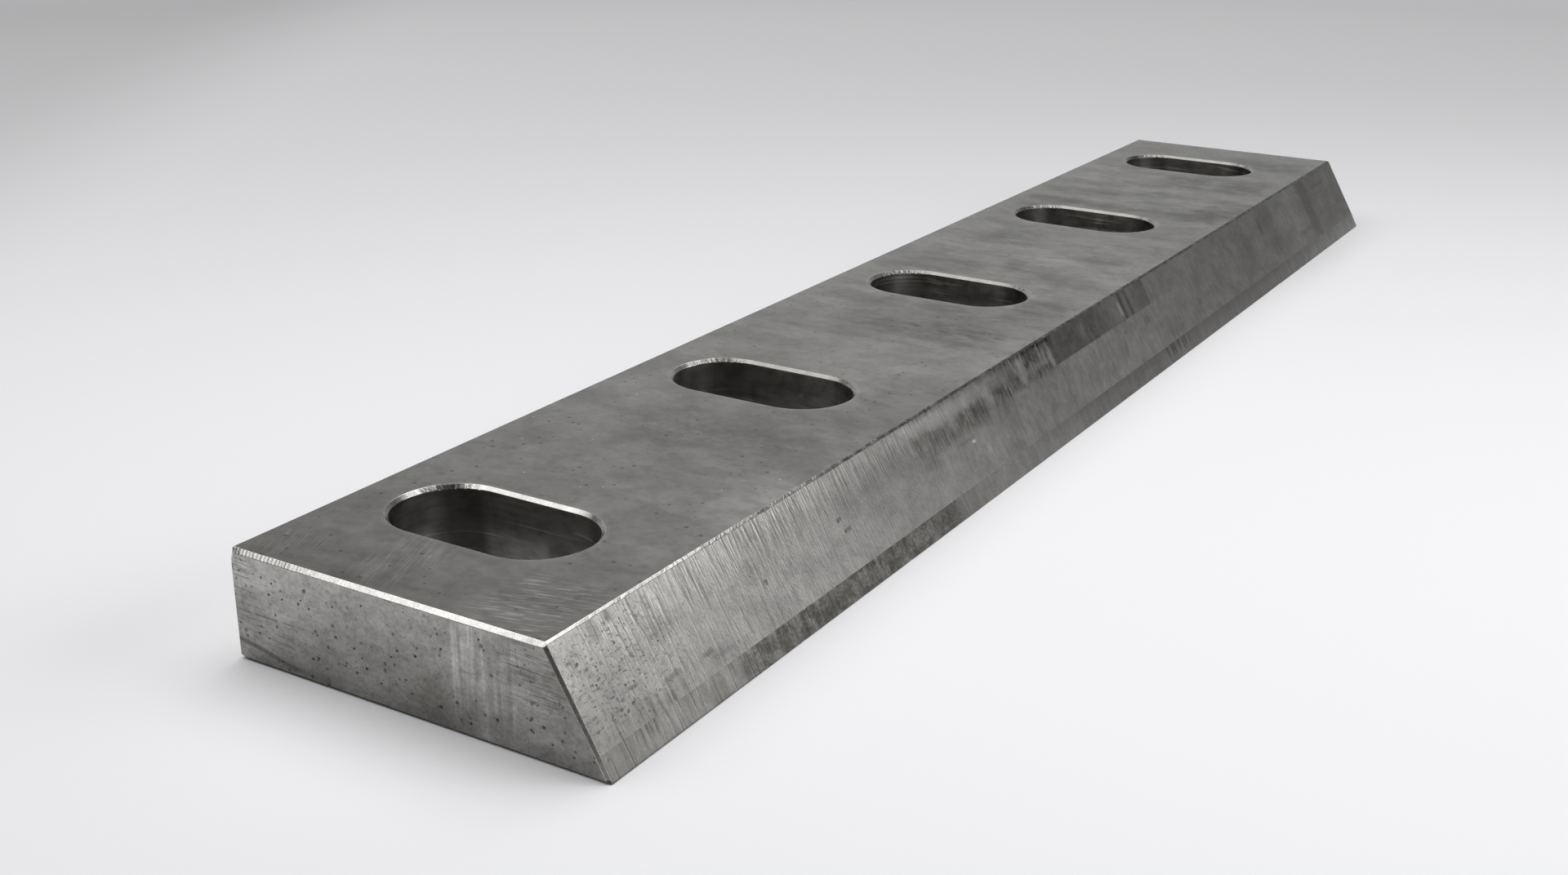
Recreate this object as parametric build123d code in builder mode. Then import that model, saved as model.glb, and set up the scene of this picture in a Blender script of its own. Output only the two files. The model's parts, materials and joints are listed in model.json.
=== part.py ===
from build123d import *
import os
from math import radians, tan

# The knife of a plastics granulator: one hardened, ground bar with a bevelled cutting edge along its
# front and a row of slots across it, through which it is bolted down on the rotor or the bed.
# +X runs along the knife, +Y from the cutting edge to the back face, and +Z up from the seat face.
# The origin is the middle of the seat face, halfway along and halfway across the knife.

# Section
knife_width = 80.0
knife_thickness = 21.0

# Cutting side, with both angles measured up from the seat face
bevel_angle = 60.0
land_angle = 62.0
land_height = 4.2

# Bolt slots, which run across the knife so that it can be set forward after each regrind
slot_count = 5
slot_pitch = 89.6
slot_width = 22.5
slot_length = 41.9
slot_to_back = 30.35  # slot centre to the back face
end_margin = 33.3  # centre of the outer slots to the knife's end

# Broken edges
slot_chamfer = 0.7
end_top_chamfer = 0.75
end_side_chamfer = 0.48
end_seat_chamfer = 0.48
ridge_chamfer = 0.35
back_chamfer = 0.3
seat_relief_width = 1.4  # along the seat face, at the back
seat_relief_height = 0.6  # up the back face

# Sizes that follow
knife_length = (slot_count - 1) * slot_pitch + 2 * end_margin
back_y = knife_width / 2
cutting_y = -knife_width / 2
land_top_y = cutting_y + land_height / tan(radians(land_angle))
ridge_y = land_top_y + (knife_thickness - land_height) / tan(radians(bevel_angle))
slot_y = back_y - slot_to_back

os.makedirs("parts", exist_ok=True)


# Knife
with BuildPart() as knife:
    # Section across the knife, from the cutting edge up the land and the bevel, and round by the back
    with BuildSketch(Plane.YZ.offset(-knife_length / 2)):
        with BuildLine():
            Polyline(
                (cutting_y, 0),
                (land_top_y, land_height),
                (ridge_y, knife_thickness),
                (back_y, knife_thickness),
                (back_y, 0),
                close=True,
            )
        make_face()
    extrude(amount=knife_length)

    # Slots from the seat face up through the top face
    with BuildSketch(Plane.XY):
        with Locations((0, slot_y)):
            with GridLocations(slot_pitch, slot_length, slot_count, 1):
                SlotOverall(slot_length, slot_width, rotation=90)
    extrude(amount=knife_thickness, mode=Mode.SUBTRACT)

    # Slot rims, on the top face and then on the seat face
    top_face = knife.faces().sort_by(Axis.Z)[-1]
    chamfer(top_face.inner_wires().edges(), length=slot_chamfer)
    seat_face = knife.faces().sort_by(Axis.Z)[0]
    chamfer(seat_face.inner_wires().edges(), length=slot_chamfer)

    # Long edge between the seat face and the back face
    back_face = knife.faces().sort_by(Axis.Y)[-1]
    seat_back_edge = back_face.edges().filter_by(Axis.X).sort_by(Axis.Z)[0]
    chamfer(seat_back_edge, length=seat_relief_width, length2=seat_relief_height, reference=seat_face)

    # Top edges of both ends, across the knife
    top_face = knife.faces().sort_by(Axis.Z)[-1]
    end_top_edges = top_face.outer_wire().edges().filter_by(Axis.Y)
    chamfer(end_top_edges, length=end_top_chamfer)

    # Ridge between the top face and the bevel
    top_face = knife.faces().sort_by(Axis.Z)[-1]
    ridge = top_face.outer_wire().edges().filter_by(Axis.X).sort_by(Axis.Y)[0]
    chamfer(ridge, length=ridge_chamfer)

    # Ends of the land and of the bevel, which are the end faces' edges in front of the ridge
    end_faces = knife.faces().filter_by(Axis.X)
    cutting_side_edges = end_faces.edges().filter_by_position(Axis.Y, cutting_y, ridge_y)
    chamfer(cutting_side_edges, length=end_side_chamfer)

    # Seat edges of both ends
    end_faces = knife.faces().filter_by(Axis.X)
    end_seat_edges = end_faces.edges().filter_by(Axis.Y).group_by(Axis.Z)[0]
    chamfer(end_seat_edges, length=end_seat_chamfer)

    # Upright back edges of both ends, and the long edge between the top face and the back face
    back_face = knife.faces().sort_by(Axis.Y)[-1]
    upright_edges = back_face.edges().filter_by(Axis.Z)
    top_back_edge = back_face.edges().filter_by(Axis.X).sort_by(Axis.Z)[-1]
    chamfer([*upright_edges, top_back_edge], length=back_chamfer)

knife.part.label = "knife"
export_step(knife.part, "parts/knife.step")
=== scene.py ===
import json
import random
from collections import Counter
from math import ceil, cos, hypot, pi, radians, sin, tan

import bmesh
import bpy
from mathutils import Euler, Matrix, Quaternion, Vector, noise
from mathutils.geometry import delaunay_2d_cdt


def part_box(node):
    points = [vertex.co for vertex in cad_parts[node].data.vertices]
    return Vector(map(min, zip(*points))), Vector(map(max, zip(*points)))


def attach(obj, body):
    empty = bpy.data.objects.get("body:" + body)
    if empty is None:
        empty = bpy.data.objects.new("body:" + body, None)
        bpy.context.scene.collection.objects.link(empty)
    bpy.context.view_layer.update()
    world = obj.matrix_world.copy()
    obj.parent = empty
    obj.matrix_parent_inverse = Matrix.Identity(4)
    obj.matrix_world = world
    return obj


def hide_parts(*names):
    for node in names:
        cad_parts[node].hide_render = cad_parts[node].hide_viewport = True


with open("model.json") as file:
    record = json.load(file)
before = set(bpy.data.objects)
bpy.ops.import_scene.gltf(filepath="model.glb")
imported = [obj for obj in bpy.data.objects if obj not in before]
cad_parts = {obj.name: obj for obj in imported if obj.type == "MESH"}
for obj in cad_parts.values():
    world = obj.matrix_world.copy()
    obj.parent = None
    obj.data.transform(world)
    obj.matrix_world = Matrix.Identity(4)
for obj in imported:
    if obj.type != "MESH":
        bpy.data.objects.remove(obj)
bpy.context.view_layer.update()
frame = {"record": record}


# Bolt slots: five slots milled straight through the bar, from the seat face up to the top face, so
# that the knife can be set forward after a regrind. Both rims are chamfered, and the top rims carry
# the chatter of the chamfering cutter where their far corners turn.
class Value:
    """What a node puts out. Sums and comparisons written with it become Math nodes in its tree."""

    def __init__(self, socket):
        self.socket = socket
        self.tree = socket.id_data

    def __add__(self, other):
        return maths("ADD", self, other)

    def __sub__(self, other):
        return maths("SUBTRACT", self, other)

    def __rsub__(self, other):
        return maths("SUBTRACT", other, self)

    def __mul__(self, other):
        return maths("MULTIPLY", self, other)

    def __truediv__(self, other):
        return maths("DIVIDE", self, other)

    def __rtruediv__(self, other):
        return maths("DIVIDE", other, self)

    def __rtruediv__(self, other):
        return maths("DIVIDE", other, self)

    def __abs__(self):
        return maths("ABSOLUTE", self)

    def __lt__(self, other):
        return maths("LESS_THAN", self, other)

    def __gt__(self, other):
        return maths("GREATER_THAN", self, other)

    __radd__ = __add__
    __rmul__ = __mul__


def feed(node, feeds):
    """Links values to a node's inputs, or sets the inputs to plain numbers."""
    for name, value in feeds.items():
        if isinstance(value, Value):
            value.tree.links.new(value.socket, node.inputs[name])
        else:
            node.inputs[name].default_value = value
    return node


def put(tree, kind, feeds=None, **settings):
    """Adds a node to a tree, with its settings and what feeds its inputs."""
    made = tree.nodes.new(kind)
    for name, setting in settings.items():
        setattr(made, name, setting)
    return feed(made, feeds or {})


def result(kind, feeds, output=0, **settings):
    """What a new node puts out, in the tree of the values that feed it."""
    tree = next(value.tree for value in feeds.values() if isinstance(value, Value))
    return Value(put(tree, kind, feeds, **settings).outputs[output])


def maths(operation, *values):
    return result("ShaderNodeMath", dict(enumerate(values)), operation=operation)


def vectors(operation, *values, output=0):
    return result("ShaderNodeVectorMath", dict(enumerate(values)), output, operation=operation)


def scaled(vector, factor):
    return result("ShaderNodeVectorMath", {0: vector, "Scale": factor}, operation="SCALE")


def xyz(x=0.0, y=0.0, z=0.0):
    return result("ShaderNodeCombineXYZ", {0: x, 1: y, 2: z})


def parts_of(value, kind="ShaderNodeSeparateXYZ"):
    return [Value(part) for part in put(value.tree, kind, {0: value}).outputs]


def smooth(value, start, stop, low=0.0, high=1.0):
    """A soft step from low at start to high at stop."""
    feeds = {"Value": value, 1: start, 2: stop, 3: low, 4: high}
    return result("ShaderNodeMapRange", feeds, interpolation_type="SMOOTHSTEP")


def along_slot(beyond, reach):
    """How far a place is from a slot's middle line, counted only past the ends of its straight sides."""
    return beyond - maths("MAXIMUM", maths("MINIMUM", beyond, reach), reach * -1.0)


def by_name(node):
    """What a node puts out, by name."""
    return {output.name: Value(output) for output in node.outputs}


def new_tree(name, kind, inputs, outputs):
    """A node tree with inputs, each with its kind and value, and outputs. Returns the tree and its inputs."""
    tree = bpy.data.node_groups.new(name, kind)
    for name, (kind, value) in inputs.items():
        made = tree.interface.new_socket(name=name, in_out="INPUT", socket_type=kind)
        if value is not None:
            made.default_value = value
    for name, kind in outputs.items():
        tree.interface.new_socket(name=name, in_out="OUTPUT", socket_type=kind)
    return tree, by_name(tree.nodes.new("NodeGroupInput"))


MM = 1000.0  # the knife is worked out in millimetres, and its mesh is scaled to metres at the end
knife_low, knife_high = (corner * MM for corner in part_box("knife"))
thickness = knife_high.z
slot_mounts = [mount for mount in frame["record"]["mounts"] if mount["name"].startswith("slot_")]
slot_places = sorted(mount["pos_m"][0] * MM for mount in slot_mounts)
slot_pitch = slot_places[1] - slot_places[0]
slot_y = slot_mounts[0]["pos_m"][1] * MM
slot_width = slot_mounts[0]["dims"]["hole_r_mm"] * 2
slot_length = slot_mounts[0]["dims"]["slot_length_mm"]
slot_chamfer = 0.7
rounding = 0.06  # how far each worn edge is rounded over, on either side of it
merge_distance = 0.004  # joins the ends of a slot's grid

FLOAT, VECTOR, INTEGER = "NodeSocketFloat", "NodeSocketVector", "NodeSocketInt"
GEOMETRY, MATERIAL = "NodeSocketGeometry", "NodeSocketMaterial"
finish_names = ["top_face", "end_face", "bevel_face", "land_face", "broken_edge", "slot_wall", "hidden_face"]
finishes = {name: bpy.data.materials.new(name) for name in finish_names}

slot_sizes = {
    "Slots": (INTEGER, len(slot_places)),
    "Pitch": (FLOAT, slot_pitch),
    "Centre line": (FLOAT, slot_y),
    "Width": (FLOAT, slot_width),
    "Length": (FLOAT, slot_length),
    "Thickness": (FLOAT, thickness),
    "Chamfer": (FLOAT, slot_chamfer),
    "Rounding": (FLOAT, rounding),
    "Steps round": (INTEGER, 380),
    "Chatter": (FLOAT, 0.16),
    "Chatter pitch": (FLOAT, 0.55),
    "Seed": (FLOAT, 4.0),
}
slot_finish = {"Wall": (MATERIAL, None), "Rim": (MATERIAL, None)}
slot_tree, get = new_tree("slot_row", "GeometryNodeTree", {**slot_sizes, **slot_finish}, {"Slots": GEOMETRY})

# One slot: a grid is wrapped round the slot's outline. Its eight rows are the two rims, each with a
# rounded edge, a chamfer and a second rounded edge, and the wall between them
sides = {"Width": get["Width"], "Height": get["Length"]}
outline = result("GeometryNodeCurvePrimitiveQuadrilateral", sides, mode="RECTANGLE")
rounded_ends = {"Curve": outline, "Count": 60, "Radius": get["Width"] * 0.4999}
outline = result("GeometryNodeFilletCurve", rounded_ends, mode="POLY")
grid = {"Size X": 1.0, "Size Y": 7.0, "Vertices X": get["Steps round"] + 1.0, "Vertices Y": 8}
grid = result("GeometryNodeMeshGrid", grid)
along, row, _ = parts_of(Value(put(slot_tree, "GeometryNodeInputPosition").outputs[0]))
row = maths("ROUND", row + 3.5)
upper = row > 3.5
ring = maths("MINIMUM", row, 7.0 - row)
on_outline = {"Curves": outline, "Factor": along + 0.5}
on_outline = put(slot_tree, "GeometryNodeSampleCurve", on_outline, mode="FACTOR").outputs
tangent, spot = Value(on_outline["Tangent"]), Value(on_outline["Position"])
outward = vectors("CROSS_PRODUCT", tangent, (0, 0, 1))
outward = scaled(outward, maths("SIGN", vectors("DOT_PRODUCT", outward, spot, output="Value")))


def chosen(index, values):
    """One of several values, picked by a whole number."""
    switch = put(index.tree, "GeometryNodeIndexSwitch", data_type="FLOAT")
    while len(switch.index_switch_items) < len(values):
        switch.index_switch_items.new()
    return Value(feed(switch, dict(enumerate((index, *values)))).outputs[0])


slant = get["Rounding"] * 0.7
steps_up = (0.0, slant, get["Chamfer"] - slant, get["Chamfer"] + get["Rounding"])
rise, flare = chosen(ring, steps_up), chosen(ring, steps_up[::-1])
height = upper * (get["Thickness"] - rise) + (1.0 - upper) * rise
spot = vectors("ADD", vectors("ADD", spot, scaled(outward, flare)), xyz(0.0, 0.0, height))
slot = result("GeometryNodeSetPosition", {"Geometry": grid, "Position": spot})
slot = result("GeometryNodeMergeByDistance", {"Geometry": slot, "Distance": merge_distance})
half_run = (get["Slots"] - 1.0) * get["Pitch"] * -0.5
first = xyz(half_run, get["Centre line"])
slots = {"Count": get["Slots"], "Start Location": first, "Offset": xyz(get["Pitch"])}
slots = result("GeometryNodeMeshLine", slots)
slots = result("GeometryNodeInstanceOnPoints", {"Points": slots, "Instance": slot})
slots = result("GeometryNodeRealizeInstances", {"Geometry": slots})

# Chatter: the top rim's chamfer is cut deeper and shallower by turns, mostly at its far back corner
place = Value(put(slot_tree, "GeometryNodeInputPosition").outputs[0])
x, y, z = parts_of(place)
x = x - half_run
x = x - get["Pitch"] * maths("ROUND", x / get["Pitch"])
arc = along_slot(y - get["Centre line"], (get["Length"] - get["Width"]) * 0.5)
ripple = {
    "Vector": vectors("MULTIPLY", place, (1.0, 1.0, 0.0)),
    "W": get["Seed"],
    "Scale": 1.0 / get["Chatter pitch"],
    "Detail": 2.0,
}
ripple = result("ShaderNodeTexNoise", ripple, noise_dimensions="4D")
at_corner = smooth(abs(maths("ARCTAN2", arc, x) - 0.75), 0.35, 0.8, 1.0, 0.06)
on_rim = z > get["Thickness"] - get["Chamfer"] * 0.99
deeper = (ripple - 0.38) * get["Chatter"] * at_corner * on_rim
deeper = scaled(vectors("NORMALIZE", xyz(x, arc)), deeper * 2.0)
slots = result("GeometryNodeSetPosition", {"Geometry": slots, "Offset": deeper})
slots = result("GeometryNodeSetMaterial", {"Geometry": slots, "Material": get["Wall"]})
middle = get["Thickness"] * 0.5
in_chamfer = abs(z - middle) > middle - get["Chamfer"] * 1.1
slots = {"Geometry": slots, "Selection": in_chamfer, "Material": get["Rim"]}
slots = result("GeometryNodeSetMaterial", slots)
put(slot_tree, "NodeGroupOutput", {"Slots": slots})


def grown(tree, settings):
    """The plain mesh that a Geometry Nodes tree makes with these settings."""
    blank = bpy.data.objects.new("blank", bpy.data.meshes.new("blank"))
    bpy.context.scene.collection.objects.link(blank)
    grower = blank.modifiers.new("grow", "NODES")
    grower.node_group = tree
    for item in tree.interface.items_tree:
        if item.in_out == "INPUT" and item.name in settings:
            grower[item.identifier] = settings[item.name]
    bpy.context.view_layer.update()
    graph = bpy.context.evaluated_depsgraph_get()
    made = bpy.data.meshes.new_from_object(blank.evaluated_get(graph), depsgraph=graph)
    bpy.data.objects.remove(blank)
    return made


slot_settings = {name: value for name, (_, value) in slot_sizes.items()}
slot_settings |= {"Wall": finishes["slot_wall"], "Rim": finishes["broken_edge"]}
slot_mesh = grown(slot_tree, slot_settings)

# Bar: one straight bar of hardened tool steel, ground on every face. Its section has the steep land at
# the cutting edge, the bevel above it, and a small chamfer on each long edge. Every edge is rounded a
# little, nicked and uneven, as files and grinding wheels leave it.
low_x, high_x = knife_low.x, knife_high.x
cutting_y, back_y = knife_low.y, knife_high.y
bevel_angle, land_angle, land_height = radians(60), radians(62), 4.2
land_top_y = cutting_y + land_height / tan(land_angle)
ridge_y = land_top_y + (thickness - land_height) / tan(bevel_angle)
ridge_chamfer, back_chamfer = 0.35, 0.3
relief_width, relief_height = 1.4, 0.6
step_along = 0.5  # between the points of a long edge
bevel_way = Vector((cos(bevel_angle), sin(bevel_angle)))
ridge_foot = Vector((ridge_y, thickness)) - bevel_way * ridge_chamfer

# Corners of the section, from the cutting edge up the front and round by the back: (y, z), how wide the
# chamfer of the near end and of the far end is there, and whether the corner is rounded over
CUTTING, LAND_TOP, BEVEL_TOP, TOP_FRONT, TOP_BACK, BACK_TOP, BACK_FOOT, SEAT_BACK = range(8)
section = [
    (Vector((cutting_y, 0.0)), 0.46, 0.46, True),
    (Vector((land_top_y, land_height)), 0.48, 0.48, False),
    (ridge_foot, 0.5, 0.5, True),
    (Vector((ridge_y + ridge_chamfer, thickness)), 0.72, 0.72, True),
    (Vector((back_y - back_chamfer, thickness)), 1.05, 0.7, True),
    (Vector((back_y, thickness - back_chamfer)), 0.85, 0.5, True),
    (Vector((back_y, relief_height)), 0.32, 0.32, True),
    (Vector((back_y - relief_width, 0.0)), 0.45, 0.45, True),
]
# Chamfer width at both ends in the middle of each side, which begins at the corner of the same number,
# and how many steps its points are apart
side_chamfers = [0.48, 0.48, 0.6, 0.75, 0.6, 0.3, 0.4, 0.48]
side_steps = [24, 100, 1, 339, 1, 80, 1, 200]
corners = [row[0] for row in section]
runs = [(corners[(k + 1) % 8] - corners[k]) for k in range(8)]
ways = [run.normalized() for run in runs]
inward = [Vector((way.y, -way.x)) for way in ways]


def wave(place, pitch, seed):
    """Smooth noise along an edge, from -1 to 1."""
    return noise.noise(Vector((place / pitch, seed * 7.31, seed * 1.7)))


def fade(value, start, end):
    """0 at start and 1 at end, with soft ends."""
    share = min(1.0, max(0.0, (value - start) / (end - start)))
    return share * share * (3 - 2 * share)


def long_edge(corner, x):
    """Both points of a long edge's rounding at x: on the face before it and on the face after it."""
    spot, before, after = corners[corner], rounding, rounding
    calm = fade(min(x - low_x, high_x - x), 0.6, 3.0)
    if corner == CUTTING:
        nick = max(0.0, wave(x, 1.9, 3) - 0.42) * 0.5 + max(0.0, wave(x, 0.8, 5) - 0.5) * 0.25
        before = after = 0.07 + 0.03 * wave(x, 6, 2) + nick * calm
    elif corner == BEVEL_TOP:
        notch = max(0.0, wave(x, 0.9, 11)) * 0.13 + max(0.0, wave(x, 2.7, 12) - 0.1) * 0.16
        notch += 0.03 * wave(x, 9, 13)
        notch *= 1 - 0.5 * fade(x - low_x, 70, 95)
        spot = spot - ways[corner - 1] * notch * calm
    elif corner == TOP_FRONT:
        run_out = fade(x - low_x, 20, 36) * fade(x - low_x, 92, 74)  # the grinding lines reach the top here
        ragged = 0.05 * wave(x, 1.6, 21) + 0.03 * wave(x, 7, 22) + 0.16 * run_out * abs(wave(x, 0.8, 23))
        spot = spot + ways[corner] * ragged * calm
    elif corner in (TOP_BACK, BACK_TOP):
        before = after = rounding + 0.05 * (1 + wave(x, 4, 30 + corner)) * calm
    return spot - ways[corner - 1] * before, spot + ways[corner] * after


def end_wear(end, side, along, depth):
    """How much deeper an end's chamfer is cut at a place along a side, at its inner or outer edge."""
    place = along + depth * 0.45
    wear = 0.02 * wave(place, 3.0, side + 40 * end)
    if side == TOP_FRONT:
        from_back = runs[side].length - along
        rough = 0.18 + 0.82 * fade(from_back, 20.0, 9.0) + 0.5 * fade(along, 12.0, 3.0)
        tooth = sin(2 * pi * (place / 0.86 + 0.9 * wave(place, 2.6, 50 + end)))
        tooth *= 0.055 * (0.55 + 0.45 * wave(place, 1.9, 52))
        wear += rough * (tooth + 0.05 * wave(place, 0.5, 54 + end))
    elif side in (LAND_TOP, CUTTING):
        wear += 0.01 * wave(place, 1.4, 62)
    elif side == SEAT_BACK:
        wear += 0.05 * wave(place, 2.2, 64 + end)
    return wear * fade(min(along, runs[side].length - along), 0.0, 1.0)


points = []  # every point of the knife, in mm
dirt = []  # how much dirt sits at each point, from 0 to 1
faces = []  # (the face's points, its finish, whether it is shaded smooth)


def add_point(x, y, z, dirty=0.0):
    points.append((x, y, z))
    dirt.append(dirty)
    return len(points) - 1


def end_point(end, x, spot):
    return add_point(low_x + x if end == 0 else high_x - x, spot.x, spot.y)


def end_rings(chamfer):
    """Four lines across an end's chamfer: how far each is from the end, and how far inside the side."""
    slant = 0.7 * rounding
    near, far = (0.0, chamfer + rounding), (slant, chamfer - slant)
    return near, far, far[::-1], near[::-1]


long_points = {}  # (corner, which of its two points): the points from the near end to the far end
for corner, (spot, near_chamfer, far_chamfer, rounded) in enumerate(section):
    start, stop = low_x + near_chamfer + rounding, high_x - far_chamfer - rounding
    count = ceil((stop - start) / step_along)
    for n in range(count + 1):
        x = start + (stop - start) * n / count
        for which, place in enumerate(long_edge(corner, x) if rounded else (spot,)):
            long_points.setdefault((corner, which), []).append(add_point(x, place.x, place.y))
    if not rounded:
        long_points[corner, 1] = long_points[corner, 0]

ring_points = {}  # (end, side, which ring): the points from the side's corner to the next one
corner_points, insets = {}, {}
for end in (0, 1):
    for corner in range(8):
        bisector = (inward[corner - 1] + inward[corner]).normalized()
        stretch = 1 / bisector.dot(inward[corner])
        for ring, (x, inset) in enumerate(end_rings(section[corner][1 + end])[:3]):
            corner_points[end, corner, ring] = end_point(end, x, corners[corner] + bisector * inset * stretch)
            insets[end, corner, ring] = x, inset
    for ring in (0, 1):
        # The narrow chamfer at the top of the back runs out before the end face
        x, down = insets[end, TOP_BACK, ring]
        forward = insets[end, BACK_TOP, ring][1]
        tip = end_point(end, x, Vector((back_y - forward, thickness - down)))
        corner_points[end, TOP_BACK, ring] = corner_points[end, BACK_TOP, ring] = tip
    for side in range(8):
        first, second = side, (side + 1) % 8
        middle, length = side_chamfers[side], runs[side].length
        ease = min(2.2, length / 2)
        for ring in range(4):
            if ring < 3:
                ends = [corner_points[end, corner, ring] for corner in (first, second)]
            else:
                ends = [long_points[first, 1][-end], long_points[second, 0][-end]]
            starts = [Vector(points[p][1:]) for p in ends]
            found = [ends[0]]
            for n in range(1, side_steps[side]):
                share = n / side_steps[side]
                along = length * share
                chamfer = middle + (section[first][1 + end] - middle) * fade(along, ease, 0.0)
                chamfer += (section[second][1 + end] - middle) * fade(length - along, ease, 0.0)
                x, inset = end_rings(chamfer + end_wear(end, side, along, ring / 3))[ring]
                base = starts[0].lerp(starts[1], share)
                on_line = corners[first] + ways[side] * (base - corners[first]).dot(ways[side])
                found.append(end_point(end, x, on_line + inward[side] * inset))
            ring_points[end, side, ring] = [*found, ends[1]]


def strip(first, second, rounded):
    """Faces between two rows of points. Where one row has fewer points, several faces share a point of it."""
    last = max(len(first), len(second)) - 1
    for n in range(last):
        a, b = (round(m * (len(first) - 1) / last) for m in (n, n + 1))
        c, d = (round(m * (len(second) - 1) / last) for m in (n, n + 1))
        corners_of_face = list(dict.fromkeys([first[a], first[b], second[d], second[c]]))
        if len(corners_of_face) > 2:
            faces.append((corners_of_face, "broken_edge", rounded))


# Narrow strips: rounding and chamfers along the long edges and round the ends
for corner in range(8):
    if section[corner][3]:
        strip(long_points[corner, 0], long_points[corner, 1], True)
    if corner in (BEVEL_TOP, TOP_BACK, BACK_FOOT):
        strip(long_points[corner, 1], long_points[(corner + 1) % 8, 0], False)
for end in (0, 1):
    for side in range(8):
        for ring in range(3):
            strip(ring_points[end, side, ring], ring_points[end, side, ring + 1], ring != 1)
        if section[side][3]:
            tip = [corner_points[end, side, 2], long_points[side, 0][-end], long_points[side, 1][-end]]
            faces.append((tip, "broken_edge", True))

# Pits: small dents that rust and knocks left in the ground faces, with dirt in the bottom of each
draw = random.Random(19)
pit_corners = 9
point_margin, pit_margin = 0.8, 0.5  # from a face's inner points to its edges and to its pits
pit_rings = ((1.0, 0.0, 0.0), (0.62, 0.7, 0.85))  # (share of the radius, share of the depth, dirt)


def scattered(count, low, high, sizes, clear, placed=()):
    """Pits, first the placed ones and then others strewn between them: (place, radius, depth)."""
    found = list(placed)
    for _ in range(count * 6):
        if len(found) >= count + len(placed):
            break
        place = Vector((draw.uniform(low[0], high[0]), draw.uniform(low[1], high[1])))
        radius = sizes[0] + (sizes[1] - sizes[0]) * draw.random() ** 2.5
        if clear(place, radius) and all((place - pit[0]).length > 1.5 * (radius + pit[1]) for pit in found):
            found.append((place, radius, radius * draw.uniform(0.35, 0.6)))
    return found


def fill(border, to_flat, to_place, finish, pits=(), holes=(), spacing=7.0, inside=None):
    """Fills a flat face inside its border with triangles, leaves its holes open and dents its pits."""
    flat, chained, whole = [], [], []
    index = []  # the knife's point behind each flat point

    def chain(length):
        """Ties the last points of the flat face into a closed loop, and returns them."""
        start = len(flat) - length
        chained.extend((start + n, start + (n + 1) % length) for n in range(length))
        return list(range(start, start + length))

    for loop in (border, *holes):
        flat.extend(to_flat(points[p]) for p in loop)
        index.extend(loop)
        whole.append(chain(len(loop)))
    for place, radius, depth in pits:
        phase = draw.random() * pi
        squeeze = draw.uniform(0.65, 1.0)
        for share, sunk, dirty in pit_rings:
            for n in range(pit_corners):
                angle = phase + 2 * pi * n / pit_corners
                reach = radius * share * draw.uniform(0.86, 1.1)
                spot = place + Vector((cos(angle), sin(angle) * squeeze)) * reach
                flat.append(spot)
                index.append(add_point(*to_place(spot, depth * sunk), dirty))
            chain(pit_corners)
        flat.append(place.copy())
        index.append(add_point(*to_place(place, depth), 1.0))
    low = [min(p[axis] for p in flat[: len(border)]) for axis in (0, 1)]
    high = [max(p[axis] for p in flat[: len(border)]) for axis in (0, 1)]
    for i in range(1, ceil((high[0] - low[0]) / spacing)):
        for j in range(1, ceil((high[1] - low[1]) / spacing)):
            spot = Vector((low[0] + i * spacing, low[1] + j * spacing))
            free = inside is None or inside(spot, point_margin)
            if free and all((spot - pit[0]).length > pit[1] + pit_margin for pit in pits):
                flat.append(spot)
                index.append(add_point(*to_place(spot, 0.0)))
    _, _, triangles, origins, _, within = delaunay_2d_cdt(flat, chained, whole, 1, 1e-6)
    for triangle, loops in zip(triangles, within):
        if any(loop > 0 for loop in loops):  # in a slot, as only the border is loop 0
            continue
        own = [index[origins[v][0]] for v in triangle]
        faces.append((own, finish, any(dirt[p] > 0 for p in own)))


def face_border(side):
    """The loop of points round a long face: along its two long edges and across both ends."""
    near, far = ring_points[0, side, 3], ring_points[1, side, 3]
    return long_points[side, 1] + far[1:-1] + long_points[(side + 1) % 8, 0][::-1] + near[-2:0:-1]


# The slots' own faces, and the loops of their rims in the seat face and in the top face
slot_start = len(points)
for vertex in slot_mesh.vertices:
    add_point(*vertex.co)
for polygon in slot_mesh.polygons:
    tilt = abs(polygon.normal.z)
    finish = slot_mesh.materials[polygon.material_index].name
    faces.append(([slot_start + v for v in polygon.vertices], finish, 0.2 < tilt < 0.55 or tilt > 0.85))
used = Counter(pair for polygon in slot_mesh.polygons for pair in polygon.edge_keys)
neighbours = {}
for (a, b), count in used.items():
    if count == 1:
        neighbours.setdefault(a, []).append(b)
        neighbours.setdefault(b, []).append(a)
seat_rims, top_rims = [], []
while neighbours:
    start = next(iter(neighbours))
    loop, previous, ahead = [], None, start
    while ahead != start or not loop:
        loop.append(ahead)
        previous, ahead = ahead, next(p for p in neighbours[ahead] if p != previous)
    for p in loop:
        del neighbours[p]
    rims = top_rims if slot_mesh.vertices[start].co.z > thickness / 2 else seat_rims
    rims.append([slot_start + p for p in loop])


def from_rim(place):
    """How far a place on the top or seat face is from the nearest slot's rim."""
    across = min(abs(place.x - x) for x in slot_places)
    reach = (slot_length - slot_width) / 2
    beyond = place.y - slot_y
    beyond -= max(-reach, min(reach, beyond))
    return hypot(across, beyond) - slot_width / 2 - slot_chamfer - rounding


def inside_box(place, low, high):
    """How far a place is inside the nearest side of a box."""
    return min(place.x - low[0], high[0] - place.x, place.y - low[1], high[1] - place.y)


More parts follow.
